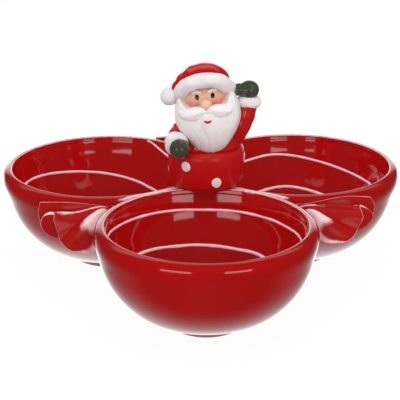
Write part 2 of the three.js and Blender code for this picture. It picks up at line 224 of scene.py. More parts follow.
class Finish:
    def __init__(self, name, **sockets):
        self.material = bpy.data.materials.new(name)
        self.material.use_nodes = True
        self.tree = self.material.node_tree
        self.tree.nodes.clear()
        self.shader = self.tree.nodes.new("ShaderNodeBsdfPrincipled")
        self.output = self.tree.nodes.new("ShaderNodeOutputMaterial")
        self.tree.links.new(self.shader.outputs[0], self.output.inputs[0])
        for socket, value in sockets.items():
            self.feed(socket.replace("_", " "), value)

    def node(self, kind, settings, inputs, output=0):
        made = self.tree.nodes.new(kind)
        for key, value in settings.items():
            setattr(made, key, value)
        for key, value in inputs.items():
            self.join(made.inputs[key], value)
        return Wire(self, made.outputs[output])

    def join(self, socket, value):
        if isinstance(value, Wire):
            self.tree.links.new(value.socket, socket)
        else:
            socket.default_value = value

    def feed(self, socket, value):
        self.join(self.shader.inputs[socket], value)

    def place(self):
        return self.node("ShaderNodeTexCoord", {}, {}, "Object")

    def value(self, name):
        return self.node("ShaderNodeAttribute", {"attribute_name": name}, {}, "Fac")

    def cloud(self, scale, detail=2.0, rough=0.5):
        inputs = {"Vector": self.place(), "Scale": scale, "Detail": detail, "Roughness": rough}
        return self.node("ShaderNodeTexNoise", {}, inputs)

    def step(self, value, low, high):
        inputs = {"Value": value, "From Min": low, "From Max": high}
        return self.node("ShaderNodeMapRange", {"interpolation_type": "SMOOTHSTEP"}, inputs)

    def mix(self, share, first, second):
        return self.node("ShaderNodeMix", {"data_type": "RGBA"}, {0: share, 6: first, 7: second}, 2)

    def bump(self, height, strength, distance):
        inputs = {"Height": height, "Strength": strength, "Distance": distance}
        self.feed("Normal", self.node("ShaderNodeBump", {}, inputs))


def paint(red, green, blue):
    return (red, green, blue, 1.0)


def part(finish, place, axis):
    return finish.node("ShaderNodeSeparateXYZ", {}, {0: place}, axis)


redSet = {
    "dish": {"body": paint(0.33, 0.0022, 0.0022), "pooled": paint(0.28, 0.002, 0.002), "gloss": 0.075,
             "coat": 1.0, "veil": 0.04, "specular": 0.5},
    # the figure, hat and drum reds are the dish's glaze painted lighter, a lit copy that stands in for light
    "figure": {"body": paint(0.46, 0.004, 0.004), "pooled": paint(0.40, 0.003, 0.003), "gloss": 0.16,
               "coat": 0.5, "veil": 0.16, "specular": 0.5},
    "drum": {"body": paint(0.45, 0.004, 0.004), "pooled": paint(0.40, 0.003, 0.003), "gloss": 0.24,
             "coat": 0.2, "veil": 0.16, "specular": 0.28},
    "hat": {"body": paint(0.46, 0.004, 0.004), "pooled": paint(0.40, 0.003, 0.003), "gloss": 0.10,
            "coat": 1.0, "veil": 0.08, "specular": 0.5},
    "ribbon": {"body": paint(0.35, 0.0025, 0.0025), "pooled": paint(0.28, 0.002, 0.002), "gloss": 0.2,
               "coat": 0.1, "veil": 0.2, "specular": 0.24},
    # lighter red for the upper inside walls, painted light
    "insideLit": paint(0.43, 0.003, 0.003),
    # pale colour for glaze that thins on edges, also used for painted highlights and painted sheen
    "breakingAndSheen": paint(0.90, 0.60, 0.63),
}


def redFinish(name):
    mixed = redSet[name]
    red = Finish("redGlaze." + name, Specular_IOR_Level=mixed["specular"], Coat_Weight=mixed["coat"],
                 Coat_Roughness=mixed["veil"])
    pooling = red.step(red.cloud(28.0, 3.0), 0.35, 0.75)
    colour = red.mix(pooling * 0.45, mixed["body"], mixed["pooled"])
    # painted light: the upper inside wall is mixed towards the lighter red
    colour = red.mix(red.value("insideLit"), colour, redSet["insideLit"])
    # this mark paints the red pale: partly where the glaze really thins on edges, partly a painted highlight
    # on lips and joins and a painted sheen on ribbon ridges
    thinAndSheen = red.value("thinAndSheen")
    brokenAndSheen = red.step(thinAndSheen + (red.cloud(420.0, 2.0) - 0.5) * 0.35, 0.35, 0.85)
    red.feed("Base Color", red.mix(brokenAndSheen, colour, redSet["breakingAndSheen"]))
    red.feed("Roughness", mixed["gloss"] + red.cloud(160.0, 2.0) * 0.03 + brokenAndSheen * 0.12)
    red.bump(red.cloud(55.0, 1.0) + red.cloud(300.0, 1.0) * 0.12, 0.10, 0.0012)
    return red.material


# the darker grey-pink is painted shade
whiteSet = {"body": paint(0.745, 0.712, 0.712), "warm": paint(0.76, 0.70, 0.695),
            "hollow": paint(0.50, 0.42, 0.41), "gloss": 0.30}


def whiteFinish():
    white = Finish("whiteGlaze", Specular_IOR_Level=0.4)
    # this mark darkens the white: painted shade in the grooves between locks of beard, hair and moustache,
    # and an evenly shaded copy of the white on band, cuffs, pompom and brows
    hollow = white.step(white.value("hollow") + (white.cloud(240.0, 3.0) - 0.5) * 0.5, 0.25, 1.1)
    tint = white.mix(white.cloud(60.0, 3.0) * 0.5, whiteSet["body"], whiteSet["warm"])
    white.feed("Base Color", white.mix(hollow, tint, whiteSet["hollow"]))
    white.feed("Roughness", whiteSet["gloss"] + white.cloud(180.0, 2.0) * 0.15)
    white.bump(white.cloud(320.0, 3.0), 0.18, 0.0006)
    return white.material


greenSet = {"body": paint(0.038, 0.047, 0.026), "fleck": paint(0.080, 0.096, 0.062), "gloss": 0.11}


def greenFinish():
    green = Finish("greenGlaze", Specular_IOR_Level=0.5, Coat_Weight=0.5)
    fleck = green.step(green.cloud(700.0, 3.0, 0.65), 0.45, 0.75)
    green.feed("Base Color", green.mix(fleck * 0.7, greenSet["body"], greenSet["fleck"]))
    green.feed("Roughness", greenSet["gloss"] + fleck * 0.1)
    green.bump(green.cloud(260.0, 3.0), 0.08, 0.0006)
    return green.material


trailSet = {
    "line": paint(0.97, 0.60, 0.66),
    "dot": paint(0.76, 0.60, 0.67),
    "washed": paint(0.75, 0.24, 0.28),
    "gloss": 0.16,
    "width": 1.45,
    "rise": 0.4,
    "sink": 0.06,
    "wander": 0.25,
    "steps": 520,
}


def trailFinish(name, body):
    trail = Finish(name, Specular_IOR_Level=0.4)
    worn = trail.step(trail.value("edge") + (trail.cloud(350.0, 3.0) - 0.5) * 0.9, 0.35, 1.15)
    trail.feed("Base Color", trail.mix(worn, body, trailSet["washed"]))
    trail.feed("Roughness", trailSet["gloss"] + trail.cloud(200.0) * 0.08)
    trail.bump(trail.cloud(400.0, 2.0), 0.12, 0.0004)
    return trail.material


# the figure's frame: places count from the middle of the drum's top, the head leans to the left
dishSet = {"centre": (0, 15.825), "bowlRing": 63.3, "rimLevel": 56.5}
figureBase = Vector((1.9, 15.825, 78.5))
headSet = {"place": (-0.8, -2, 28), "tilt": -7, "radii": (15, 12.4, 13)}
headSpot = figureBase + Vector(headSet["place"])


def onHead(bm):
    return place(bm, headSpot, (0, headSet["tilt"], 0))


faceSet = {
    "skin": paint(0.77, 0.47, 0.32),
    "warm": paint(0.74, 0.42, 0.28),
    "blush": paint(0.72, 0.20, 0.14),
    "eye": paint(0.022, 0.012, 0.010),
    "eyeSpot": (4.2, 2.9),
    "eyeSize": (1.15, 1.5),
    "cheekSpot": (7.0, -1.2),
    "cheekSize": (4.4, 3.0),
}


def skinFinish():
    skin = Finish("skinGlaze", Specular_IOR_Level=0.4)
    inputs = {"Vector": skin.place(), "Location": headSpot * mm,
              "Rotation": (0, math.radians(headSet["tilt"]), 0), "Scale": (mm, mm, mm)}
    local = skin.node("ShaderNodeMapping", {"vector_type": "TEXTURE"}, inputs)
    side, height = abs(part(skin, local, 0)), part(skin, local, 2)
    front = skin.step(part(skin, local, 1), -4.0, -8.0)

    def spot(where, size, soft):
        across = (side - where[0]) / size[0]
        along = (height - where[1]) / size[1]
        return skin.step((across * across + along * along) ** 0.5, 1 + soft, 1 - soft) * front

    colour = skin.mix(skin.cloud(120.0, 3.0) * 0.4, faceSet["skin"], faceSet["warm"])
    colour = skin.mix(spot(faceSet["cheekSpot"], faceSet["cheekSize"], 0.6) * 0.75, colour, faceSet["blush"])
    eye = spot(faceSet["eyeSpot"], faceSet["eyeSize"], 0.12)
    colour = skin.mix(eye, colour, faceSet["eye"])
    skin.feed("Base Color", colour)
    skin.feed("Roughness", 0.34 - eye * 0.22)
    skin.bump(skin.cloud(300.0, 2.0), 0.08, 0.0005)
    return skin.material


redGlaze = redFinish("dish")
coatGlaze = redFinish("figure")
hatGlaze = redFinish("hat")
drumGlaze = redFinish("drum")
ribbonGlaze = redFinish("ribbon")
whiteGlaze = whiteFinish()
greenGlaze = greenFinish()
trailGlaze = trailFinish("trailGlaze", trailSet["line"])
dotGlaze = trailFinish("dotGlaze", trailSet["dot"])
skinGlaze = skinFinish()
print("finishes made")


# bowls, turned from one closed profile and cut where they run into each other, with a trailed line inside
bowlSet = {
    "foot": [(0, 2.7), (11, 2.6), (15, 2.4), (15.4, 1.2), (15.6, 0.3), (16.2, 0), (18.2, 0), (18.9, 0.5),
             (19, 1.7)],
    "outside": [(19.2, 3.3), (20.5, 4), (22.6, 4.6), (28.2, 6.5), (34.5, 9.5), (40.1, 13.4), (45.1, 18.3),
                (49.5, 24.1), (52.7, 30), (55, 36), (56.9, 42), (58.3, 46), (59.05, 48.6), (59.3, 50.4)],
    "lip": [(59.25, 51.9), (59.05, 53.2), (58.6, 54.3), (57.95, 55.1), (57.1, 55.7), (56.1, 56.15),
            (55.2, 56.4), (54.6, 56.5), (54.1, 56.42), (53.75, 56.15), (53.5, 55.65), (53.35, 55)],
    "inside": [(53.15, 54.4), (52.9, 53), (52.3, 51), (51.6, 48.5), (50.8, 45.5), (49.6, 42), (48.2, 38.5),
               (46.6, 35), (44.6, 31), (41.8, 26.5), (37.9, 21.5), (33, 17), (27.5, 13.3), (21.5, 10.6),
               (14.9, 8.6), (7, 7.65), (0, 7.5)],
    "steps": 144,
    "drawn": {"front": 1.1},  # how far a rim draws in
    "drawnFrom": (34, 54),  # heights between which it does
    "edge": (53.9, 56.25),  # radius and height of the lip's edge, where the glaze thins and a highlight is painted pale
    "edgeFade": 0.6,
    "edgePaleAndHighlight": 0.75,
    # painted highlight where the rims run together by the drum
    "joinFade": 1.9,
    "joinHighlight": 0.8,
    "joinFrom": (54.3, 55.6),
    "insideLitFrom": (16, 34),
    "lumps": 0.10,
}
bowlAngles = {"front": -90, "right": 30, "left": 150}
joinTurn = 30  # degrees from a bowl's middle line to the planes where it meets its neighbours


def flatPath(points, count):
    return [(spot.x, spot.y) for spot in smoothPath([(a, b, 0) for a, b in points], count)]


def bowlCentre(name):
    angle = math.radians(bowlAngles[name])
    across, along = dishSet["centre"]
    ring = dishSet["bowlRing"]
    return Vector((across + ring * math.cos(angle), along + ring * math.sin(angle), 0))


def lipThinAndHighlight(spot, angle):  # the lip's edge is painted pale, partly for thinning glaze and partly as a painted highlight; where the rims run together the pale is a painted highlight
    reach = (Vector((math.hypot(spot.x, spot.y), spot.z)) - Vector(bowlSet["edge"])).length
    edge = bowlSet["edgePaleAndHighlight"] * math.exp(-(reach / bowlSet["edgeFade"]) ** 2)
    turns = [math.radians(angle - joinTurn), math.radians(angle + joinTurn)]
    apart = min(spot.x * math.cos(turn) + spot.y * math.sin(turn) for turn in turns)
    apart += dishSet["bowlRing"] * math.cos(math.radians(joinTurn))
    join = bowlSet["joinHighlight"] * math.exp(-(apart / bowlSet["joinFade"]) ** 2)
    return max(edge, join * ease(*bowlSet["joinFrom"], spot.z))


def drawIn(bm, amount):
    for vert in bm.verts:
        reach = math.hypot(vert.co.x, vert.co.y)
        share = 1 - amount * ease(*bowlSet["drawnFrom"], vert.co.z / mm) * mm / max(reach, mm)
        vert.co.x *= share
        vert.co.y *= share


def cutFlat(bm, where, normal):  # takes away what is behind a plane and closes the cut
    found = bmesh.ops.bisect_plane(bm, geom=bm.verts[:] + bm.edges[:] + bm.faces[:], clear_inner=True,
                                   plane_co=where, plane_no=normal)["geom_cut"]
    rim = [edge for edge in found if isinstance(edge, bmesh.types.BMEdge)]
    bmesh.ops.edgeloop_fill(bm, edges=rim)
    for edge in rim:
        edge.smooth = False


insidePath = flatPath(bowlSet["inside"], 64)
insideStops = sorted((height, radius) for radius, height in insidePath)


def innerPaintedLight(spot):  # the upper inside wall is painted a lighter red than the rest, as painted light
    inside = math.hypot(spot.x, spot.y) < between(insideStops, spot.z) + 0.3
    return ease(*bowlSet["insideLitFrom"], spot.z) if inside else 0


profile = bowlSet["foot"] + flatPath(bowlSet["outside"], 48) + flatPath(bowlSet["lip"], 26) + insidePath
for name, angle in bowlAngles.items():
    bm = spunForm(profile, bowlSet["steps"])
    bmesh.ops.recalc_face_normals(bm, faces=bm.faces[:])
    mark(bm, "thinAndSheen", lambda spot: lipThinAndHighlight(spot, angle))
    mark(bm, "insideLit", innerPaintedLight)
    drawIn(bm, bowlSet["drawn"].get(name, 0))
    push(bm, lambda spot: bowlSet["lumps"] * (lumps(spot, 26, len(name)) - 1))
    place(bm, bowlCentre(name))
    for side in (angle - joinTurn, angle + joinTurn):
        turn = math.radians(side)
        cutFlat(bm, Vector((*dishSet["centre"], 0)) * mm, (math.cos(turn), math.sin(turn), 0))
    makePiece("bowl." + name, bm, redGlaze, ["bowl_" + name])
print("bowls turned")

trails = {  # (angle, height) along each line
    "front": [(220, 51.6), (196, 50), (174, 48.3), (151, 46.7), (124, 45.9), (92, 44.9), (62, 44.7),
              (31, 44.3), (7, 44), (-40, 40.4), (-100, 35.8), (-160, 32), (-214, 29.2), (-243, 27.9),
              (-267, 27.1), (-294, 26.3), (-320, 25.9), (-380, 22.4), (-450, 17.6), (-510, 13.5)],
    "left": [(424, 55.2), (421, 54.6), (418, 53.2), (414.3, 51.5), (410.6, 50.1), (406.9, 49), (398, 48),
             (340, 46.8), (280, 45.4), (215, 43.8), (175, 41.3), (149, 40.4), (117, 37.5), (91, 34.7),
             (65, 30.9), (51, 28.5), (0, 22.5), (-60, 18), (-120, 14.6), (-170, 12.2)],
    "right": [(180, 39.5), (150, 41), (121, 43.3), (103, 44.9), (86, 43.9), (60, 40.7), (33, 38.3),
              (10, 37.6), (-40, 34.4), (-110, 30), (-180, 27), (-232, 25), (-247, 25.6), (-261, 26.7),
              (-272, 26.8), (-285, 25.6), (-296, 24.4), (-350, 19.6), (-420, 15), (-470, 12.4)],
}


def trailForm(stops, seed):
    line = smoothPath([(angle, height, 0) for angle, height in stops], trailSet["steps"])
    bm = bmesh.new()
    bmesh.ops.create_grid(bm, x_segments=6, y_segments=trailSet["steps"] - 1, size=1)
    edge = bm.verts.layers.float.new("edge")
    for vert in bm.verts:
        along = line[round((vert.co.y + 1) / 2 * (trailSet["steps"] - 1))]
        across = vert.co.x
        tip = min(1, 6 * (1 - abs(vert.co.y)) ** 0.5)
        wander = trailSet["wander"] * noise.noise(Vector((along.x * 0.05, seed, 0)))
        width = trailSet["width"] * tip * (1 + 0.25 * noise.noise(Vector((along.x * 0.11, seed, 4))))
        height = along.y + wander + across * width / 2
        slope = between(insideStops, height + 0.5) - between(insideStops, height - 0.5)
        outward = Vector((-1, slope)).normalized()  # off the wall, towards the bowl's middle
        lift = trailSet["rise"] * tip * (1 - across ** 2) ** 0.5 - trailSet["sink"]
        radius = between(insideStops, height) + outward.x * lift
        turn = math.radians(along.x)
        vert.co = Vector((radius * math.cos(turn), radius * math.sin(turn), height + outward.y * lift)) * mm
        vert[edge] = across ** 2
    return bm


for seed, (name, stops) in enumerate(trails.items()):
    bm = trailForm(stops, seed)
    drawIn(bm, bowlSet["drawn"].get(name, 0))
    place(bm, bowlCentre(name))
    makePiece("trail." + name, bm, trailGlaze, smooth=1)
print("lines trailed")


# ribbon tails: pleated sheets whose fold lines run out between two bowls
ribbonSet = {"thickness": 1.8, "across": 70, "along": 46, "edgePaleAndHighlight": 0.7, "sheenFade": 0.25}
# painted sheen on the ridges, by fold: how pale, and how far out
frontSheen = {8: (0.75, 1.1), 12: (0.9, 0.88), 13: (0.62, 0.78), 14: (0.85, 1.4)}
backSheen = {2: (0.6, 0.9), 4: (0.6, 0.9)}
ribbons = {  # fold lines: distance out from the dish's axis, offset to the side, height below the rim
    "left": {"angle": 210, "hand": 1, "sheen": frontSheen, "lines": [
        [(54, 0, 4), (62.8, -3, 2.6), (75.7, -13, 1.6), (87.2, -26, 3.2)],
        [(54, 0, 4.6), (62.5, -2.6, 3.2), (76.8, -12.8, 4.1), (88.8, -25.3, 8)],
        [(54, 0, 5.2), (62.1, -2.2, 3.7), (77, -12, 7.8), (88.9, -23.2, 14.8)],
        [(54, 0, 5.8), (61.9, -1.9, 4.1), (76.1, -10.5, 11.5), (86.3, -19, 19.2)],
        [(54, 0, 6.4), (61.8, -1.6, 4.1), (75.4, -7.2, 12.6), (83.8, -12.6, 20.2)],
        [(54, 0, 7), (61.9, -1.4, 3.9), (77.9, -8.2, 11.2), (87.8, -15.6, 19)],
        [(54, 0, 7.6), (62, -1.2, 3.6), (80.1, -8.9, 8.2), (91.5, -17.5, 13)],
        [(54, 0, 8.2), (62.2, -0.8, 3.1), (79.1, -8.3, 5.3), (89.9, -16, 7.2)],
        [(54, 0, 9), (62.7, -0.3, 3.2), (76.2, -6.3, 5.4), (86.5, -11.6, 5.5)],
        [(54, 0, 9.8), (62.7, 0.2, 3.6), (77.3, -4.6, 7.2), (87, -10.2, 9.2)],
        [(54, 0, 10.8), (62.6, 0.6, 3.5), (76.4, -2.6, 9.1), (86.2, -8, 14.8)],
        [(54, 0, 12), (62.6, 1, 3.8), (75.3, -1.4, 9.4), (85.6, -6.4, 19.1)],
        [(54, 0, 15), (63.1, 2, 4.3), (74.3, 3.2, 8.5), (84.6, -2.6, 21.9)],
        [(54, 0, 22), (63.2, 3, 10.2), (73.1, 5.6, 16.5), (82.4, 0, 23.6)],
        [(54, 0, 30), (63.3, 4, 17.9), (72.3, 7, 24.4), (79.5, 2.4, 24.1)],
    ]},
    "right": {"angle": 330, "hand": -1, "sheen": frontSheen, "lines": [
        [(54, 0, 4), (62.7, -3, 2.7), (79, -13, -0.8), (90.2, -24, 0.9)],
        [(54, 0, 4.6), (62.3, -2.6, 3.5), (80, -12.8, 1.3), (92.6, -24.6, 5.6)],
        [(54, 0, 5.2), (61.9, -2.2, 4.2), (80.5, -12, 4.7), (92.4, -22.5, 10.7)],
        [(54, 0, 5.8), (62, -1.9, 4.6), (80.7, -10.5, 8.2), (90.5, -18.5, 14.9)],
        [(54, 0, 6.4), (61.9, -1.6, 4.7), (79.8, -7.2, 10.1), (88, -12.6, 16.5)],
        [(54, 0, 7), (62, -1.4, 4.6), (82.8, -8.2, 8.5), (91.6, -15.6, 14.9)],
        [(54, 0, 7.6), (62.1, -1.2, 4.5), (85.3, -8.9, 5.4), (94.5, -17.5, 9.5)],
        [(54, 0, 8.2), (62.3, -0.8, 4.3), (84.9, -8.3, 2.9), (93, -16, 5.4)],
        [(54, 0, 9), (62.8, -0.3, 3.7), (77, -6.3, 3.1), (89.4, -12, 2.8)],
        [(54, 0, 9.8), (63, 0.2, 4.3), (79.7, -4.4, 5.5), (92.2, -9.8, 7.9)],
        [(54, 0, 10.8), (63.8, 0.6, 4.7), (78.8, -2.6, 7.9), (90.7, -8, 12.3)],
        [(54, 0, 12), (64.6, 1, 5), (78.2, -1.4, 9.2), (90.2, -6.4, 15.1)],
        [(54, 0, 15), (65.6, 2, 5.3), (75.8, 3.2, 7.6), (89.8, -2.6, 17)],
        [(54, 0, 22), (66.8, 3, 10.8), (76.2, 5.6, 13.9), (88.1, 0, 18.6)],
        [(54, 0, 30), (68.1, 4, 18.3), (78.7, 7, 19.2), (85.9, 2.4, 19.3)],
    ]},
    "back": {"angle": 90, "hand": -1, "sheen": backSheen, "lines": [
        [(54, 0, 4), (62.5, -3, 2.6), (77, -15, -1.6), (87, -26.5, 1.2)],
        [(54, 0, 7), (62.2, -2, 3.6), (77, -10.5, 9), (87, -18.5, 15)],
        [(54, 0, 9), (62.6, -0.8, 3), (78, -5, 4), (89, -10, 5)],
        [(54, 0, 12), (62.6, 0.4, 3.4), (78, 0.4, 8.5), (89, 0.5, 13.5)],
        [(54, 0, 15), (62.6, 1.6, 3), (78, 5.5, 4), (89, 10.5, 5)],
        [(54, 0, 20), (62.2, 2.8, 5), (77, 11, 9), (87, 19, 15)],
        [(54, 0, 30), (62.5, 4, 12), (76, 16, -1.6), (87, 29.5, 1.2)],
    ]},
}


def ribbonForm(tail):
    across, along = ribbonSet["across"], ribbonSet["along"]
    hand, rim = tail["hand"], dishSet["rimLevel"]
    rails = [smoothPath([(out, hand * side, rim - below) for out, side, below in line], along + 1)
             for line in tail["lines"]]
    rows = [smoothPath([rail[i] for rail in rails], across + 1) for i in range(along + 1)]
    count = len(rails) - 1

    def paintedSheen(i, j):  # each ridge's painted sheen fades out along its length
        marks = []
        for k in range(count + 1):
            much, far = tail["sheen"].get(k, (0, 1))
            marks.append((across * k / count, much * ease(far, far - ribbonSet["sheenFade"], i / along)))
        return between(marks, j)

    bm = bmesh.new()
    bmesh.ops.create_grid(bm, x_segments=across, y_segments=along, size=1)
    thinAndSheen = bm.verts.layers.float.new("thinAndSheen")
    for vert in bm.verts:
        i = round((vert.co.y + 1) / 2 * along)
        j = round((vert.co.x + 1) / 2 * across)
        vert.co = rows[i][j] * mm
        # ribbon edges are painted pale, partly for thinning glaze and partly as a painted highlight; the
        # ridges get a painted sheen
        onEdge = j in (0, across) or i == along
        vert[thinAndSheen] = ribbonSet["edgePaleAndHighlight"] if onEdge else paintedSheen(i, j)
    place(bm, (*dishSet["centre"], 0), (0, 0, tail["angle"]))
    return bm


for name, tail in ribbons.items():
    makePiece("ribbon." + name, ribbonForm(tail), ribbonGlaze, ["ribbon_" + name],
              smooth=1, thickness=ribbonSet["thickness"])
print("ribbons folded")


# drum on the meeting rims, with dabbed dots
drumSet = {
    "profile": [(0, -23), (14, -23), (17, -22.7), (19, -21.7), (20.1, -20), (20.6, -17), (20.9, -12),
                (21, -7), (21, -4), (20.9, -2.6), (20.5, -1.4), (19.8, -0.6), (18.6, -0.12), (16, 0), (0, 0)],
    "dots": [(-33.4, -7.2), (13.8, -15.6), (86.6, -7.2), (133.8, -15.6), (206.6, -7.2), (253.8, -15.6)],
    "radius": 21,
    "dotRadius": 2.8,
    "dotRise": 0.4,
}
bm = place(spunForm(drumSet["profile"], 72), figureBase)
mark(bm, "thinAndSheen", lambda spot: 0)
makePiece("drum", bm, drumGlaze, ["knot_drum"], smooth=2)

for i, (angle, height) in enumerate(drumSet["dots"]):
    bm = eggForm((drumSet["dotRadius"], drumSet["dotRise"], drumSet["dotRadius"]), 28, 16)
    push(bm, lambda spot: 0.15 * lumps(spot, 2.2, i))
    turn = math.radians(angle)
    for vert in bm.verts:  # wrapped round the drum
        radius = drumSet["radius"] * mm - vert.co.y
        bend = turn + vert.co.x / (drumSet["radius"] * mm)
        vert.co = Vector((radius * math.sin(bend), -radius * math.cos(bend), vert.co.z + height * mm))
    mark(bm, "edge", lambda spot: 0)
    place(bm, figureBase)
    makePiece("dot.%d" % i, bm, dotGlaze, smooth=1)
print("drum made")


# coat and arms
coatSet = {
    "profile": [(0, -0.8), (15, -0.8), (19.2, -0.8), (19.8, 0.2), (19.6, 1.8), (19.1, 4.5), (17.8, 9),
                (15.6, 14), (12.4, 18), (7.8, 21.4), (3, 22.8), (0, 23)],
    "depth": 0.82,
}
bm = spunForm(coatSet["profile"], 56)
bmesh.ops.scale(bm, vec=(1, coatSet["depth"], 1), verts=bm.verts[:])
push(bm, lambda spot: 0.35 * lumps((spot.x, spot.y, spot.z * 0.4), 7))
mark(bm, "thinAndSheen", lambda spot: 0)
makePiece("coat", place(bm, figureBase), coatGlaze, ["figure_coat"], smooth=1)

armSet = {
    "raised": {"path": [(11, -1, 3.5), (15.6, -3.6, 6.6), (19.3, -4.8, 13), (21.8, -5.2, 19), (23, -5.2, 25)],
               "radii": [(0, 6.2), (0.3, 5.7), (0.55, 5.2), (0.8, 4.9), (1, 4.7)], "folds": 0.1},
    "lowered": {"path": [(-9, 1, 10.5), (-13.8, -3, 8.8), (-16, -8, 7.2), (-16.4, -12, 6), (-16.3, -15, 5.2)],
                "radii": [(0, 5.6), (0.35, 5.2), (0.7, 4.9), (1, 4.7)], "folds": 0.1},
}
for name, arm in armSet.items():
    path = smoothPath(arm["path"], 26)
    folds = [arm["folds"] * math.sin(i * 1.15) * ease(0, 8, i) for i in range(26)]
    bm = tubeForm(path, [between(arm["radii"], i / 25) + fold for i, fold in enumerate(folds)], 28)
    push(bm, lambda spot: 0.12 * lumps(spot, 8, 3))
    mark(bm, "thinAndSheen", lambda spot: 0)
    makePiece("sleeve." + name, place(bm, figureBase), coatGlaze, ["sleeve_" + name], smooth=1)

cuffSet = {
    "raised": {"place": (23.1, -5, 25.6), "radii": (6.5, 5.4, 3.9), "turns": (0, 4, 0)},
    "lowered": {"place": (-16.4, -14.8, 4.8), "radii": (6.6, 3.8, 6.6), "turns": (0, 0, -25)},
}


def furLumps(seed, size=3.2, amount=0.3):
    return lambda spot: amount * (lumps(spot, size, seed) + 0.5 * lumps(spot, size / 2.2, seed + 1))


for name, cuff in cuffSet.items():
    bm = eggForm(cuff["radii"], 72, 44, 2.5)
    push(bm, furLumps(5))
    # painted shade: the cuffs' white is darkened evenly
    mark(bm, "hollow", lambda spot: 0.5)
    place(bm, figureBase + Vector(cuff["place"]), cuff["turns"])
    makePiece("cuff." + name, bm, whiteGlaze, ["cuff_" + name], smooth=1)

mittenSet = {
    "raised": [((22.9, -6, 32.3), (5.6, 4.4, 5.3)), ((17.3, -6.3, 32.6), (3.5, 3.1, 3.6))],
    "lowered": [((-15, -20, 3.8), (5.5, 5, 5.5)), ((-13.4, -17.5, 6), (3.2, 3, 3))],
}
for name, eggs in mittenSet.items():
    bm = fusedForm([place(eggForm(radii, 40, 24), where) for where, radii in eggs], voxel=0.42, passes=8)
    place(bm, figureBase)
    makePiece("mitten." + name, bm, greenGlaze, ["mitten_" + name], smooth=1)
print("coat and arms made")


# head, beard and hair
bm = onHead(eggForm(headSet["radii"]))
makePiece("head", bm, skinGlaze, ["figure_head"], smooth=1)

noseSet = {"place": (0, -14.4, -0.8), "radii": (3.4, 3.3, 3.1)}
bm = onHead(place(eggForm(noseSet["radii"], 40, 24), noseSet["place"]))
makePiece("nose", bm, skinGlaze, ["figure_nose"], smooth=1)

beardSet = {
    "place": (0.4, -7, -8.8), "radii": (17.9, 12, 20.9), "swing": -8,
    "opening": {"width": 13.2, "height": 8.5, "level": 4, "depth": -8},
    "strand": 0.36, "taper": 0.22,
}


def strands(spot, seed):  # locks that run down and part in the middle
    angle = math.degrees(math.atan2(spot.x, 26 + spot.z * 0.6 - spot.y))
    wave = 7 * noise.noise(Vector((spot.z * 0.11, spot.x * 0.05, seed)))
    locks = noise.noise(Vector(((angle + wave) * 0.16, spot.z * 0.035, seed + 2)))
    hairs = noise.noise(Vector(((angle + wave) * 0.5, spot.z * 0.06, seed + 5)))
    return 0.7 * locks + 0.4 * hairs


bm = place(eggForm(beardSet["radii"], 150, 110, 2.15), beardSet["place"], (beardSet["swing"], 0, 0))
# painted shade in the grooves between the beard's locks
hollow = bm.verts.layers.float.new("hollow")
for vert in bm.verts:
    vert[hollow] = 0.3 - 0.6 * strands(vert.co / mm, 1)
    vert.co.x *= 1 - beardSet["taper"] * ease(-9, -27, vert.co.z / mm)
push(bm, lambda spot: beardSet["strand"] * strands(spot, 1))
opening = beardSet["opening"]
for vert in bm.verts:  # the beard's front gives way to the face
    spot = vert.co / mm
    lower = min(spot.z - opening["level"], 0)
    inside = ease(1.08, 0.90, math.hypot(spot.x / opening["width"], lower / opening["height"]))
    if spot.y < opening["depth"]:
        vert.co.y += (opening["depth"] - spot.y) * inside * mm
lipSet = {"level": -9.3, "half": 2.1, "curl": 0.8, "radius": 0.75}
level = lipSet["level"]
near = [vert.co for vert in bm.verts if abs(vert.co.x) < 1.5 * mm and abs(vert.co.z - level * mm) < mm]
front = min(spot.y for spot in near) / mm
makePiece("beard", onHead(bm), whiteGlaze, ["figure_beard"], smooth=1)

path = smoothPath([(-lipSet["half"], front + 0.4, level + lipSet["curl"]), (0, front + 0.2, level),
                   (lipSet["half"], front + 0.4, level + lipSet["curl"])], 15)
bm = tubeForm(path, [lipSet["radius"] * (1 - ((i - 7) / 9) ** 2) for i in range(15)], 16)
mark(bm, "thinAndSheen", lambda spot: 0)
makePiece("lip", onHead(bm), coatGlaze, smooth=1)

browSet = {"path": [(1.6, -11.8, 5), (4.2, -11, 6), (7.2, -10.2, 5.2)], "radius": 1.0}
for hand in (1, -1):
    path = smoothPath([(hand * x, y, z) for x, y, z in browSet["path"]], 21)
    bm = tubeForm(path, [browSet["radius"] * (1 - 0.7 * ((i - 9) / 12) ** 2) for i in range(21)], 20)
    push(bm, lambda spot: 0.15 * lumps(spot, 1.6, 4))
    # painted shade: the brows' white is darkened a little
    mark(bm, "hollow", lambda spot: 0.1)
    makePiece("brow.%s" % ("right" if hand > 0 else "left"), onHead(bm), whiteGlaze, smooth=1)

hairSet = {"place": (0, 2.5, -3), "radii": (16, 13, 12.5)}
bm = place(eggForm(hairSet["radii"], 120, 80), hairSet["place"])
# painted shade in the grooves between the hair's locks
hollow = bm.verts.layers.float.new("hollow")
for vert in bm.verts:
    vert[hollow] = 0.3 - 0.7 * strands(Vector((vert.co.x, -vert.co.y, vert.co.z)) / mm, 4)
push(bm, lambda spot: 0.4 * strands(Vector((spot.x, -spot.y, spot.z)), 4) if spot.y > -4 else -2.5)
makePiece("hair", onHead(bm), whiteGlaze, ["figure_hair"], smooth=1)

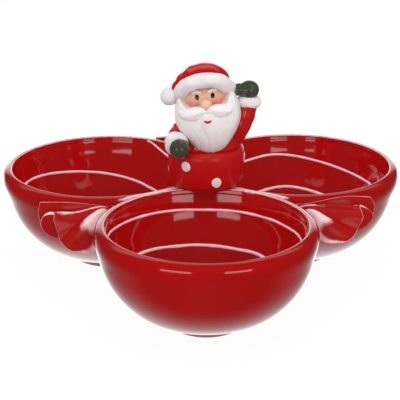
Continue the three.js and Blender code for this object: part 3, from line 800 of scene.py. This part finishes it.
moustacheSet = {
    "path": [(0.4, -15, -3.6), (3.6, -15.4, -4.5), (7.8, -14.9, -5.3), (12, -12.8, -5), (15.4, -9.8, -3.6)],
    "radii": [(0, 2), (0.15, 3.2), (0.4, 4.1), (0.7, 3.6), (0.9, 2.2), (1, 0.8)],
}
halves = []
for hand in (1, -1):
    path = smoothPath([(hand * x, y, z) for x, y, z in moustacheSet["path"]], 40)
    bm = tubeForm(path, [between(moustacheSet["radii"], i / 39) for i in range(40)], 40)
    halves.append(bm)
bm = fusedForm(halves, voxel=0.35, passes=4)
# painted shade in the grooves of the moustache
hollow = bm.verts.layers.float.new("hollow")


def sweep(spot):  # hairs that follow the moustache outwards
    return noise.noise(Vector((abs(spot.x) * 0.08, spot.z * 0.75 + abs(spot.x) * 0.12, spot.y * 0.5)))


for vert in bm.verts:
    vert[hollow] = 0.2 - 0.5 * sweep(vert.co / mm)
push(bm, lambda spot: 0.22 * sweep(spot))
makePiece("moustache", onHead(bm), whiteGlaze, ["figure_moustache"], smooth=1)
print("head made")


# hat
bandSet = {
    "path": [(0, -13.2, 12.3), (8, -11.6, 10.5), (12.7, -6.5, 5.4), (13, 1.5, 1.5), (8.5, 9.8, 0.5),
             (0, 12.8, 0.5), (-8.5, 9.8, 0.5), (-13, 1.5, 1.5), (-12.7, -6.5, 5.4), (-8, -11.6, 10.5)],
    "tube": 4.1,
}
path = smoothPath(bandSet["path"], 96, True)
bm = tubeForm(path, [bandSet["tube"]] * len(path), 30, True)
push(bm, furLumps(9, 3.6, 0.28))
# painted shade: the band's white is darkened evenly
mark(bm, "hollow", lambda spot: 0.5)
makePiece("furBand", onHead(bm), whiteGlaze, ["hat_fur_band"], smooth=1)

hatSet = {
    "dome": ((0, 1, 5.9), (15.3, 14.3, 12.3)),
    "tail": [(3, 1, 10.5), (-4.5, -0.5, 11), (-10, -2, 9), (-14, -3.2, 6), (-17, -3.8, 4)],
    "tailRadii": [(0, 6), (0.3, 6.2), (0.6, 5), (0.85, 3.6), (1, 2.8)],
    "seat": ((0, 0, 3.6), (0, 0.383, 0.924)),
}
dome = place(eggForm(hatSet["dome"][1]), hatSet["dome"][0])
cutFlat(dome, Vector(hatSet["seat"][0]) * mm, hatSet["seat"][1])
tail = tubeForm(smoothPath(hatSet["tail"], 24), [between(hatSet["tailRadii"], i / 23) for i in range(24)], 32)
bm = fusedForm([dome, tail], voxel=0.55, passes=6)


def hatFolds(spot):  # soft creases along the drooping tail
    along = ease(4, -14, spot.x)
    across = spot.z + 0.55 * spot.x - 0.25 * spot.y
    return along * 0.3 * math.sin(across * 1.05 + 0.8) + 0.2 * lumps(spot, 7, 2)


push(bm, hatFolds)
mark(bm, "thinAndSheen", lambda spot: 0)
makePiece("hat", onHead(bm), hatGlaze, ["hat_crown"], smooth=1)

pompomSet = {"place": (-19, -4, 3.4), "radius": 4.9}
bm = eggForm((pompomSet["radius"],) * 3, 56, 36)
push(bm, furLumps(12, 3, 0.32))
# painted shade: the pompom's white is darkened evenly
mark(bm, "hollow", lambda spot: 0.5)
place(bm, pompomSet["place"])
makePiece("pompom", onHead(bm), whiteGlaze, ["hat_pompom"], smooth=1)
print("hat made")


# pale floor, light and camera
studioSet = {
    "floorRadius": 4.0,
    "floorLevel": -0.0002,
    "floorLift": 0.94,
    "floorGlow": 1.02,
    "ambient": 1.0,
    "dim": 0.03,
    "sweep": {"strength": 1.3, "slope": 1.47, "round": 0.0006, "start": -0.111, "fade": 0.043},
    "near": {"least": 0.08, "from": (-0.110, -0.072)},
    "backdrop": (0.84, 0.96),
    "skylight": {"strength": 0.5, "ahead": (0.4, 0.6), "above": (0.5, 0.72)},
    "lampAim": (0, 0, 0.06),
    "lamps": [{"place": (0, 0, 1.1), "size": (1.1, 1.1), "power": 0.5},
              {"place": (0, -0.55, 1.05), "size": (0.9, 0.9), "power": 4.0}],
    "boxes": [{"place": (-0.240, -0.46, 0.100), "size": (0.25, 0.135), "power": 0.19},
              {"place": (0.215, -0.46, 0.100), "size": (0.21, 0.135), "power": 0.16}],
}


def stagePiece(name, bm, material):
    mesh = bpy.data.meshes.new(name)
    bm.to_mesh(mesh)
    bm.free()
    mesh.materials.append(material)
    made = bpy.data.objects.new(name, mesh)
    bpy.context.scene.collection.objects.link(made)


class Air(Finish):  # the world's own nodes
    def __init__(self, name):
        self.world = bpy.data.worlds.new(name)
        self.world.use_nodes = True
        self.tree = self.world.node_tree
        self.shader = self.tree.nodes["Background"]


def seen(finish, ray):
    return finish.node("ShaderNodeLightPath", {}, {}, "Is %s Ray" % ray)


# gloss shows a white sweep under and behind the dish, a skylight above that, and elsewhere a dim room
backSweep = studioSet["sweep"]
floorPaint = Finish("floorPaint", Base_Color=paint(0.8, 0.8, 0.8), Roughness=0.9, Specular_IOR_Level=0.1)
aside, along = part(floorPaint, floorPaint.place(), 0), part(floorPaint, floorPaint.place(), 1)
wedge = along - backSweep["slope"] * (aside * aside + backSweep["round"]) ** 0.5
behind = wedge.maths("POWER", math.e, (wedge - backSweep["start"]) / backSweep["fade"])
least = studioSet["near"]["least"]
near = least + (1 - least) * floorPaint.step(along, *studioSet["near"]["from"])
mirrored = studioSet["dim"] + behind.maths("MINIMUM", behind, backSweep["strength"]) * near
clear = seen(floorPaint, "Camera") + seen(floorPaint, "Transmission")
gloss = seen(floorPaint, "Glossy")
strength = clear * studioSet["floorGlow"] + gloss * mirrored
glow = floorPaint.node("ShaderNodeEmission", {}, {"Strength": strength})
share = floorPaint.node("ShaderNodeMixShader", {}, {
    0: clear * studioSet["floorLift"] + gloss, 1: Wire(floorPaint, floorPaint.shader.outputs[0]), 2: glow})
floorPaint.join(floorPaint.output.inputs[0], share)
bm = bmesh.new()
bmesh.ops.create_circle(bm, cap_ends=True, segments=96, radius=studioSet["floorRadius"],
                        matrix=Matrix.Translation((0, 0, studioSet["floorLevel"])))
stagePiece("floor", bm, floorPaint.material)

air = Air("studio")
toward = air.node("ShaderNodeTexCoord", {}, {}, "Generated")
ahead, above = part(air, toward, 1), part(air, toward, 2)
mirrored = studioSet["dim"] + backSweep["strength"] * air.step(ahead, *studioSet["backdrop"])
skylight = studioSet["skylight"]
high = air.step(ahead, *skylight["ahead"]) * air.step(above, *skylight["above"])
mirrored = mirrored + skylight["strength"] * high
clear = seen(air, "Camera") + seen(air, "Transmission")
gloss = seen(air, "Glossy")
air.feed("Strength", clear + gloss * mirrored + (1 - clear - gloss) * studioSet["ambient"])
air.feed("Color", paint(1, 1, 1))
bpy.context.scene.world = air.world


def softBox(name, light, mirrored):
    lamp = bpy.data.lights.new(name, "AREA")
    lamp.shape = "RECTANGLE"
    lamp.size, lamp.size_y = light["size"]
    lamp.energy = light["power"]
    holder = bpy.data.objects.new(name, lamp)
    holder.location = light["place"]
    toDish = Vector(studioSet["lampAim"]) - Vector(light["place"])
    holder.rotation_euler = toDish.to_track_quat("-Z", "Y").to_euler()
    holder.visible_camera = False
    holder.visible_glossy = mirrored
    bpy.context.scene.collection.objects.link(holder)


for i, lamp in enumerate(studioSet["lamps"]):
    softBox("lamp.%d" % i, lamp, False)
for i, box in enumerate(studioSet["boxes"]):
    softBox("box.%d" % i, box, True)

cameraSet = {"azimuth": -1.674, "elevation": 20.225, "distance": 0.748353,
             "aim": (-0.00196, -0.000685, 0.05171), "lens": 123.407, "sensor": 36}
eye = bpy.data.cameras.new("camera")
eye.lens, eye.sensor_width = cameraSet["lens"], cameraSet["sensor"]
camera = bpy.data.objects.new("camera", eye)
turn, rise = math.radians(cameraSet["azimuth"]), math.radians(cameraSet["elevation"])
back = Vector((math.sin(turn) * math.cos(rise), -math.cos(turn) * math.cos(rise), math.sin(rise)))
camera.location = Vector(cameraSet["aim"]) + back * cameraSet["distance"]
camera.rotation_euler = back.to_track_quat("Z", "Y").to_euler()
bpy.context.scene.collection.objects.link(camera)
bpy.context.scene.camera = camera
bpy.context.scene.view_settings.view_transform = "Standard"
print("studio set")
